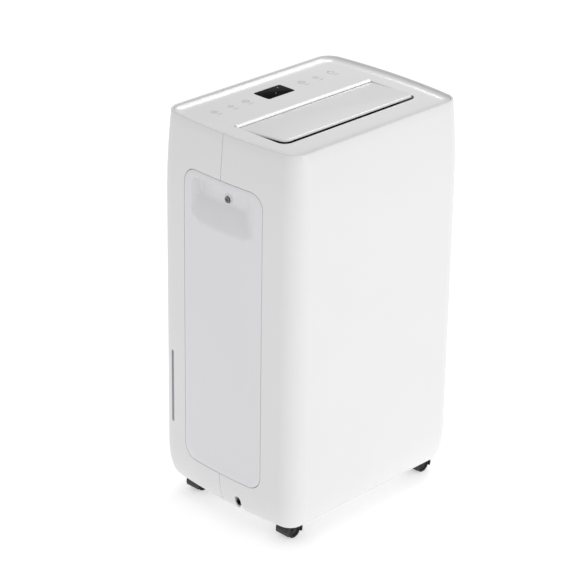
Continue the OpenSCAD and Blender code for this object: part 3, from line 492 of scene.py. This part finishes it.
combine(deck, rounded_block("lens_seat", (lens_lo[0] - lens_gap, lens_lo[1] - lens_gap, deck_z - 1.4 * mm),
                            (lens_hi[0] + lens_gap, lens_hi[1] + lens_gap, deck_z + 4 * mm), 3 * mm, 2, 6))
pin_r, boss_l = 2 * mm, 7 * mm
for side in (-1, 1):
    pin_boss = round_bar("pin_boss", (side * (well_x - 2.5 * mm), axis_y, axis_z), pin_r + 1.3 * mm, boss_l, 0)
    combine(deck, pin_boss, "UNION")
    combine(deck, round_bar("pin_seat", (side * (well_x - 4.2 * mm), axis_y, axis_z), pin_r, boss_l, 0))
finish_piece(deck, deck_abs, "cabinet", ["top_cover"], 30)

# ---- Printed touch marks ----
# Six small generic signs are pad-printed in grey on the deck, three on each side of the display.
# Each has a short bar under it that shows which is on. The print is a film a few hundredths thick.
mark_ink = moulded_plastic("mark_ink", (0.4, 0.4, 0.42), 0.5, 0.05)
lens_y = (lens_lo[1] + lens_hi[1]) / 2
mark_t = 0.06 * mm
line_w = 0.8 * mm
mark_r = 4.8 * mm
sun_r = 2.6 * mm


def print_bar(x, y, w, h, turn=0):
    """A short printed line."""
    start_clean()
    bpy.ops.mesh.primitive_cube_add(size=1, location=(x, y, deck_z + mark_t / 2), rotation=(0, 0, turn))
    bar = bpy.context.object
    bar.scale = (w, h, mark_t)
    bpy.ops.object.transform_apply()
    return bar


def print_ring(x, y, r, sides=40):
    """A printed ring."""
    start_clean()
    bpy.ops.mesh.primitive_circle_add(vertices=sides, radius=r, fill_type="NGON",
                                      location=(x, y, deck_z + mark_t))
    ring = bpy.context.object
    bpy.ops.object.transform_apply()
    edit(ring)
    bpy.ops.mesh.select_all(action="SELECT")
    bpy.ops.mesh.inset(thickness=line_w, depth=0)
    bpy.ops.mesh.delete(type="FACE")
    bpy.ops.mesh.select_all(action="SELECT")
    bpy.ops.mesh.extrude_region_move(TRANSFORM_OT_translate={"value": (0, 0, -mark_t)})
    bpy.ops.mesh.select_all(action="SELECT")
    bpy.ops.mesh.normals_make_consistent(inside=False)
    start_clean()
    return ring


marks = []
cy = lens_y + 0.5 * mm
for side in (-1, 1):
    for sign, x in enumerate((48 * mm, 73 * mm, 100 * mm)):
        cx = side * x
        marks.append(print_bar(cx, cy - 9.5 * mm, 8 * mm, 0.9 * mm))
        if sign == 0:
            # a clock
            marks.append(print_ring(cx, cy, mark_r))
            marks.append(print_bar(cx, cy + 1.7 * mm, line_w, 3.6 * mm))
            marks.append(print_bar(cx + 1.2 * mm, cy, 2.8 * mm, line_w))
        elif sign == 1:
            # three lines of air
            for step in (-1, 0, 1):
                marks.append(print_bar(cx, cy + step * 3 * mm, 9.6 * mm - abs(step) * 2.8 * mm, line_w))
        elif side < 0:
            # a small ring with eight rays
            marks.append(print_ring(cx, cy, sun_r, 28))
            for k in range(8):
                a = k * math.pi / 4
                ray_x, ray_y = cx + (sun_r + 2 * mm) * math.cos(a), cy + (sun_r + 2 * mm) * math.sin(a)
                marks.append(print_bar(ray_x, ray_y, 1.8 * mm, line_w, a))
        else:
            # on and off
            marks.append(print_ring(cx, cy, mark_r))
            marks.append(print_bar(cx, cy + 3.8 * mm, line_w, mark_r))
start_clean()
for mark in marks:
    mark.select_set(True)
bpy.context.view_layer.objects.active = marks[0]
bpy.ops.object.join()
marks[0].name = "touch_marks"
finish_piece(marks[0], mark_ink, "cabinet")

# ---- Display lens ----
# A gloss black acrylic window with rounded corners, taped into its seat in the deck.
# Behind it the dark board shows nothing; two tiny glowing white dots on it are painted highlights for the
# glints on the glass.
lens = rounded_block("display_window", lens_lo, lens_hi, 2.5 * mm, 2, 6)
edit(lens)
pick_faces(lens, lambda mid, n: n.z > 0.9)
bpy.ops.mesh.region_to_loop()
bpy.ops.mesh.bevel(offset=0.25 * mm, segments=3, affect="EDGES")
start_clean()


def lens_gloss():
    """Black acrylic with an anti-glare coat, so it hardly mirrors, and two tiny glowing dots that are painted
    glints.
    """
    mat = moulded_plastic("lens_black", (0.006, 0.006, 0.007), 0.12, 0.1, 2.0, 0.002)
    tree = mat.node_tree
    shader = tree.nodes["Principled BSDF"]
    shader.inputs["IOR"].default_value = 1.04
    place = tree.nodes["Texture Coordinate"]
    painted_glint = None
    for x, y in ((13, 7), (-2, -5)):
        centre = tree.nodes.new("ShaderNodeVectorMath")
        centre.operation = "DISTANCE"
        centre.inputs[1].default_value = (x * mm, lens_y + y * mm, lens_hi[2])
        link(tree, place.outputs["Object"], centre.inputs[0])
        near = tree.nodes.new("ShaderNodeMath")
        near.operation = "LESS_THAN"
        near.inputs[1].default_value = 0.5 * mm    # each painted glint's radius
        link(tree, centre.outputs["Value"], near.inputs[0])
        if painted_glint:
            both = tree.nodes.new("ShaderNodeMath")
            both.operation = "MAXIMUM"
            link(tree, painted_glint, both.inputs[0])
            link(tree, near.outputs["Value"], both.inputs[1])
            painted_glint = both.outputs["Value"]
        else:
            painted_glint = near.outputs["Value"]
    # The two dots glow as painted highlights: they stand in for the lens's glints and are no lamps.
    shader.inputs["Emission Color"].default_value = (1, 1, 1, 1)
    link(tree, painted_glint, shader.inputs["Emission Strength"])
    return mat


finish_piece(lens, lens_gloss(), "cabinet", ["display_lens"])

# ---- Hinge strip ----
# A gloss strip of the deck's white plastic closes the gap behind the flap; its lighter white is partly a
# painted highlight. It slopes down into the well and is
# clipped over the well's rear edge, with its rear edge rounded over.
# Its gloss coat gives real highlights, but its colour, whiter than the deck's same plastic, is painted
# highlight along the strip and the flap's edge.
strip_white = moulded_plastic("strip_white", (0.96, 0.96, 0.96), 0.22, 0.01, 1.0, 0.004, 0.4)
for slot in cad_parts["hinge_strip"].material_slots:
    slot.material = strip_white

# ---- Outlet flap ----
# The flap is a thin pale ABS plate with a gloss rolled edge, and swings on two steel pins; the rolled edge is
# coloured whiter than the plate as a painted highlight. It lies a little askew when shut, so that its free edge
# stands just over the deck. Knuckles hang below it.
flap_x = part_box("outlet_flap")[1][0]
flap_y = 10.5 * mm
flap_d = 74 * mm
flap_t = 2.8 * mm
flap_z = deck_z - 3.4 * mm
flap_tilt = math.radians(3.5)
flap = rounded_block("flap", (-flap_x, flap_y - flap_d, flap_z), (flap_x, flap_y, flap_z + flap_t))
edit(flap, "EDGE")
pick_edges(flap, lambda mid, way: abs(way.x) > 0.9 and mid.y < -50 * mm)
flap_taper = 3 * mm
bpy.ops.transform.resize(value=((flap_x - flap_taper) / flap_x, 1, 1), center_override=(0, 0, 0))
bpy.ops.mesh.select_all(action="DESELECT")
pick_edges(flap, lambda mid, way: abs(way.z) > 0.9 and mid.y < 0)
bpy.ops.mesh.bevel(offset=9 * mm, segments=10, affect="EDGES")
bpy.ops.mesh.select_mode(type="FACE")
pick_faces(flap, lambda mid, n: n.z < -0.9)
bpy.ops.mesh.region_to_loop()
bpy.ops.mesh.bevel(offset=0.3 * mm, segments=2, affect="EDGES")
bpy.ops.mesh.select_mode(type="FACE")
bpy.ops.mesh.select_all(action="DESELECT")
pick_faces(flap, lambda mid, n: n.z > 0.9)
bpy.ops.mesh.region_to_loop()
bpy.ops.mesh.bevel(offset=1.7 * mm, segments=6, affect="EDGES")
bpy.ops.mesh.select_all(action="SELECT")
bpy.ops.transform.rotate(value=flap_tilt, orient_axis="X", center_override=(0, flap_y, flap_z))
start_clean()
knuckle_l, web_t = 6 * mm, 6 * mm
for side in (-1, 1):
    middle_x = side * (well_x - 10 * mm)
    knuckle = round_bar("knuckle", (middle_x, axis_y, axis_z), pin_r + 2 * mm, knuckle_l, 0)
    combine(knuckle, rounded_block("web", (middle_x - knuckle_l / 2, axis_y - web_t / 2, axis_z),
                                   (middle_x + knuckle_l / 2, axis_y + web_t / 2, flap_z + 1.6 * mm)), "UNION")
    combine(flap, knuckle, "UNION")
    combine(flap, round_bar("pin_bore", (middle_x, axis_y, axis_z), pin_r + 0.05 * mm, 9 * mm, 0))
finish_piece(flap, deck_abs, "flap", ["outlet_flap"])
# The flap's edge and bevel faces get the lighter white: a painted highlight along its rim.
flap.data.materials.append(strip_white)
for face in flap.data.polygons:
    if face.center.z > flap_z + 0.2 * mm and -0.5 < face.normal.z < 0.97:
        face.material_index = 1

# ---- Tank front ----
# The tank's front is a white ABS plate, flush with the casing, with rounded edges.
# A wide hole behind its top edge lets the fingers into the tank's recess.
pull_lo = (-44.8 * mm, tank_lo[1] - mm, 150.2 * mm)
pull_hi = (44.8 * mm, tank_hi[1] + mm, 185 * mm)
tank_plate = rounded_block("tank_plate", tank_lo, tank_hi, 2.4 * mm, 1, 4)
combine(tank_plate, rounded_block("pull", pull_lo, pull_hi, 6 * mm, 1))
edit(tank_plate)
pick_faces(tank_plate, lambda mid, n: n.y > 0.9)
bpy.ops.mesh.region_to_loop()
bpy.ops.mesh.bevel(offset=0.8 * mm, segments=3, affect="EDGES")
start_clean()
finish_piece(tank_plate, white_abs, "tank", ["tank_front"])

# ---- Metals, rubber and the plastics inside ----
# The parts behind the casing keep their made shape: zinc-plated sheet and screws, mill-finish fins,
# drawn copper, black enamel on the compressor, and unpainted grey and clear mouldings.


def worked_metal(name, colour, rough, stretch=(1, 1, 1), scale=400, depth=0.01):
    """Bare metal with drawn or rolled lines along the direction that the stretch leaves long."""
    mat = bpy.data.materials.new(name)
    mat.use_nodes = True
    tree = mat.node_tree
    shader = tree.nodes["Principled BSDF"]
    shader.inputs["Metallic"].default_value = 1
    place = tree.nodes.new("ShaderNodeTexCoord")
    along = tree.nodes.new("ShaderNodeMapping")
    along.inputs["Scale"].default_value = stretch
    link(tree, place.outputs["Object"], along.inputs["Vector"])
    lines = tree.nodes.new("ShaderNodeTexNoise")
    lines.inputs["Scale"].default_value = scale
    lines.inputs["Detail"].default_value = 4
    link(tree, along.outputs["Vector"], lines.inputs["Vector"])
    shade = tree.nodes.new("ShaderNodeMix")
    shade.data_type = "RGBA"
    shade.inputs["A"].default_value = [c * 0.85 for c in colour] + [1]
    shade.inputs["B"].default_value = list(colour) + [1]
    link(tree, lines.outputs["Fac"], shade.inputs["Factor"])
    link(tree, shade.outputs["Result"], shader.inputs["Base Color"])
    gloss = tree.nodes.new("ShaderNodeMapRange")
    gloss.inputs["To Min"].default_value = rough - 0.08
    gloss.inputs["To Max"].default_value = rough + 0.08
    link(tree, lines.outputs["Fac"], gloss.inputs["Value"])
    link(tree, gloss.outputs["Result"], shader.inputs["Roughness"])
    bump = tree.nodes.new("ShaderNodeBump")
    bump.inputs["Distance"].default_value = depth * mm
    bump.inputs["Strength"].default_value = 0.5
    link(tree, lines.outputs["Fac"], bump.inputs["Height"])
    link(tree, bump.outputs["Normal"], shader.inputs["Normal"])
    return mat


def clear_plastic(name, colour, rough, alpha):
    """Tinted clear moulding with faint flow lines in its thickness."""
    mat = moulded_plastic(name, colour, rough, 0.06, 3.0, 0.004)
    shader = mat.node_tree.nodes["Principled BSDF"]
    shader.inputs["Alpha"].default_value = alpha
    return mat


def woven_mesh():
    """A fine nylon net: two sets of threads with small dark holes between."""
    mat = moulded_plastic("filter_net", (0.3, 0.31, 0.32), 0.7, 0.08)
    tree = mat.node_tree
    shader = tree.nodes["Principled BSDF"]
    place = tree.nodes["Texture Coordinate"]
    threads = []
    for way in ("X", "Z"):
        wave = tree.nodes.new("ShaderNodeTexWave")
        wave.bands_direction = way
        wave.inputs["Scale"].default_value = 250
        link(tree, place.outputs["Object"], wave.inputs["Vector"])
        threads.append(wave.outputs["Fac"])
    top = tree.nodes.new("ShaderNodeMath")
    top.operation = "MAXIMUM"
    link(tree, threads[0], top.inputs[0])
    link(tree, threads[1], top.inputs[1])
    shade = tree.nodes.new("ShaderNodeMix")
    shade.data_type = "RGBA"
    shade.inputs["A"].default_value = (0.03, 0.03, 0.032, 1)
    shade.inputs["B"].default_value = (0.34, 0.35, 0.36, 1)
    link(tree, top.outputs["Value"], shade.inputs["Factor"])
    link(tree, shade.outputs["Result"], shader.inputs["Base Color"])
    bump = tree.nodes["Bump"]
    bump.inputs["Distance"].default_value = 0.3 * mm
    link(tree, top.outputs["Value"], bump.inputs["Height"])
    return mat


caster_black = moulded_plastic("caster_black", (0.012, 0.012, 0.013), 0.4, 0.12, 1.4, 0.02)
wheel_rubber = moulded_plastic("wheel_rubber", (0.018, 0.018, 0.019), 0.75, 0.15, 0.7, 0.04)
guard_dark = moulded_plastic("guard_dark", (0.035, 0.035, 0.038), 0.55, 0.1)
inner_grey = moulded_plastic("inner_grey", (0.52, 0.52, 0.53), 0.55, 0.04)
zinc_sheet = worked_metal("zinc_sheet", (0.66, 0.67, 0.69), 0.38, (1, 1, 0.08))
fin_metal = worked_metal("fin_metal", (0.78, 0.79, 0.8), 0.32, (1, 1, 0.05), 700)
copper_tube = worked_metal("copper_tube", (0.78, 0.4, 0.25), 0.25)
black_enamel = moulded_plastic("black_enamel", (0.02, 0.02, 0.022), 0.3, 0.1, 2.5, 0.03, 0.4)
finishes = {
    white_abs: ["rear_grille", "fan_wheel", "humidity_sensor", "drain_spout"],
    inner_grey: ["base_pan", "tank_rails", "drip_tray", "fan_scroll", "fan_shroud", "outlet_duct", "tank_lid"],
    guard_dark: ["outlet_grille", "tank_sensor", "power_box", "cord_gland", "drain_plug"],
    caster_black: ["caster_hood_fl", "caster_hood_fr", "caster_hood_rl", "caster_hood_rr"],
    wheel_rubber: ["caster_wheels_fl", "caster_wheels_fr", "caster_wheels_rl", "caster_wheels_rr",
                   "compressor_grommets"],
    # The side screws' steel is darkened to paint the shade inside their seats in the grip pockets.
    worked_metal("screw_steel_painted_shade", (0.22, 0.22, 0.23), 0.4): ["side_screws"],
    zinc_sheet: ["base_screws", "flap_pins", "touch_springs", "bulkhead", "mid_plate",
                 "compressor_nuts", "fan_shaft", "fan_nut", "fan_motor", "motor_screws"],
    fin_metal: ["evaporator", "condenser", "capacitor"],
    copper_tube: ["discharge_pipe", "suction_pipe"],
    black_enamel: ["compressor", "accumulator"],
    moulded_plastic("board_green", (0.03, 0.16, 0.08), 0.35, 0.1, 1.5): ["display_board"],
    moulded_plastic("handle_grey", (0.2, 0.205, 0.21), 0.45, 0.05): ["tank_handle", "filter_frame"],
    moulded_plastic("float_orange", (0.75, 0.25, 0.04), 0.5, 0.05): ["tank_float"],
    clear_plastic("tank_clear", (0.55, 0.64, 0.72), 0.12, 0.45): ["water_tank"],
    clear_plastic("window_grey", (0.3, 0.31, 0.33), 0.15, 0.9): ["level_windows"],
    woven_mesh(): ["filter_mesh"],
}
for material, nodes in finishes.items():
    for node in nodes:
        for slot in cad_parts[node].material_slots:
            slot.material = material

# ---- Studio: floor, light and camera ----
# A wide pale floor and even white light all round. A large soft light faces the plain front, and two
# smaller ones high up behind and to the right shine along the deck's hollow and the hinge strip.
start_clean()
bpy.ops.mesh.primitive_plane_add(size=14, location=(0, 0, 0))
floor = bpy.context.object
floor.name = "studio_floor"
floor_paint = bpy.data.materials.new("floor_paint")
floor_paint.use_nodes = True
floor_shader = floor_paint.node_tree.nodes["Principled BSDF"]
floor_shader.inputs["Base Color"].default_value = (0.82, 0.82, 0.82, 1)
floor_shader.inputs["Roughness"].default_value = 0.9
floor_shader.inputs["Emission Color"].default_value = (1, 1, 1, 1)
floor_shader.inputs["Emission Strength"].default_value = 0.49
floor.data.materials.append(floor_paint)

world = bpy.data.worlds.new("studio_air")
world.use_nodes = True
world.node_tree.nodes["Background"].inputs["Color"].default_value = (1, 1, 1, 1)
world.node_tree.nodes["Background"].inputs["Strength"].default_value = 0.6
bpy.context.scene.world = world
bpy.context.scene.view_settings.view_transform = "Standard"
bpy.context.scene.view_settings.look = "None"

body_mid = Vector((0, 0, (foot_z + rim_z) / 2))


def soft_light(name, place, size, power):
    lamp_data = bpy.data.lights.new(name, "AREA")
    lamp_data.shape = "SQUARE"
    lamp_data.size = size
    lamp_data.energy = power
    lamp = bpy.data.objects.new(name, lamp_data)
    lamp.location = place
    lamp.rotation_euler = (body_mid - Vector(place)).to_track_quat("-Z", "Y").to_euler()
    bpy.context.collection.objects.link(lamp)


soft_light("front_light", (0.4, -3.2, 0.7), 1.8, 25)
soft_light("rear_light", (1.6, 1.1, 2.05), 0.8, 9)
soft_light("right_light", (1.9, 0.2, 2.4), 0.8, 9)

azimuth = math.radians(-45.486)
elevation = math.radians(25.244)
roll = math.radians(0.82)
back = Vector((math.sin(azimuth) * math.cos(elevation), -math.cos(azimuth) * math.cos(elevation),
               math.sin(elevation)))
right = (-back).cross(Vector((0, 0, 1))).normalized()
up = right.cross(-back)
camera_data = bpy.data.cameras.new("camera")
camera_data.lens = 149.7
camera_data.sensor_width = 36
camera_data.clip_end = 50
camera = bpy.data.objects.new("camera", camera_data)
camera_away, camera_left, camera_raised = 2.964, 0.02906, 0.00286
place = body_mid + back * camera_away - right * camera_left + up * camera_raised
turned_right = right * math.cos(roll) + up * math.sin(roll)
turned_up = up * math.cos(roll) - right * math.sin(roll)
camera.matrix_world = Matrix.Translation(place) @ Matrix((turned_right, turned_up, back)).transposed().to_4x4()
bpy.context.collection.objects.link(camera)
bpy.context.scene.camera = camera
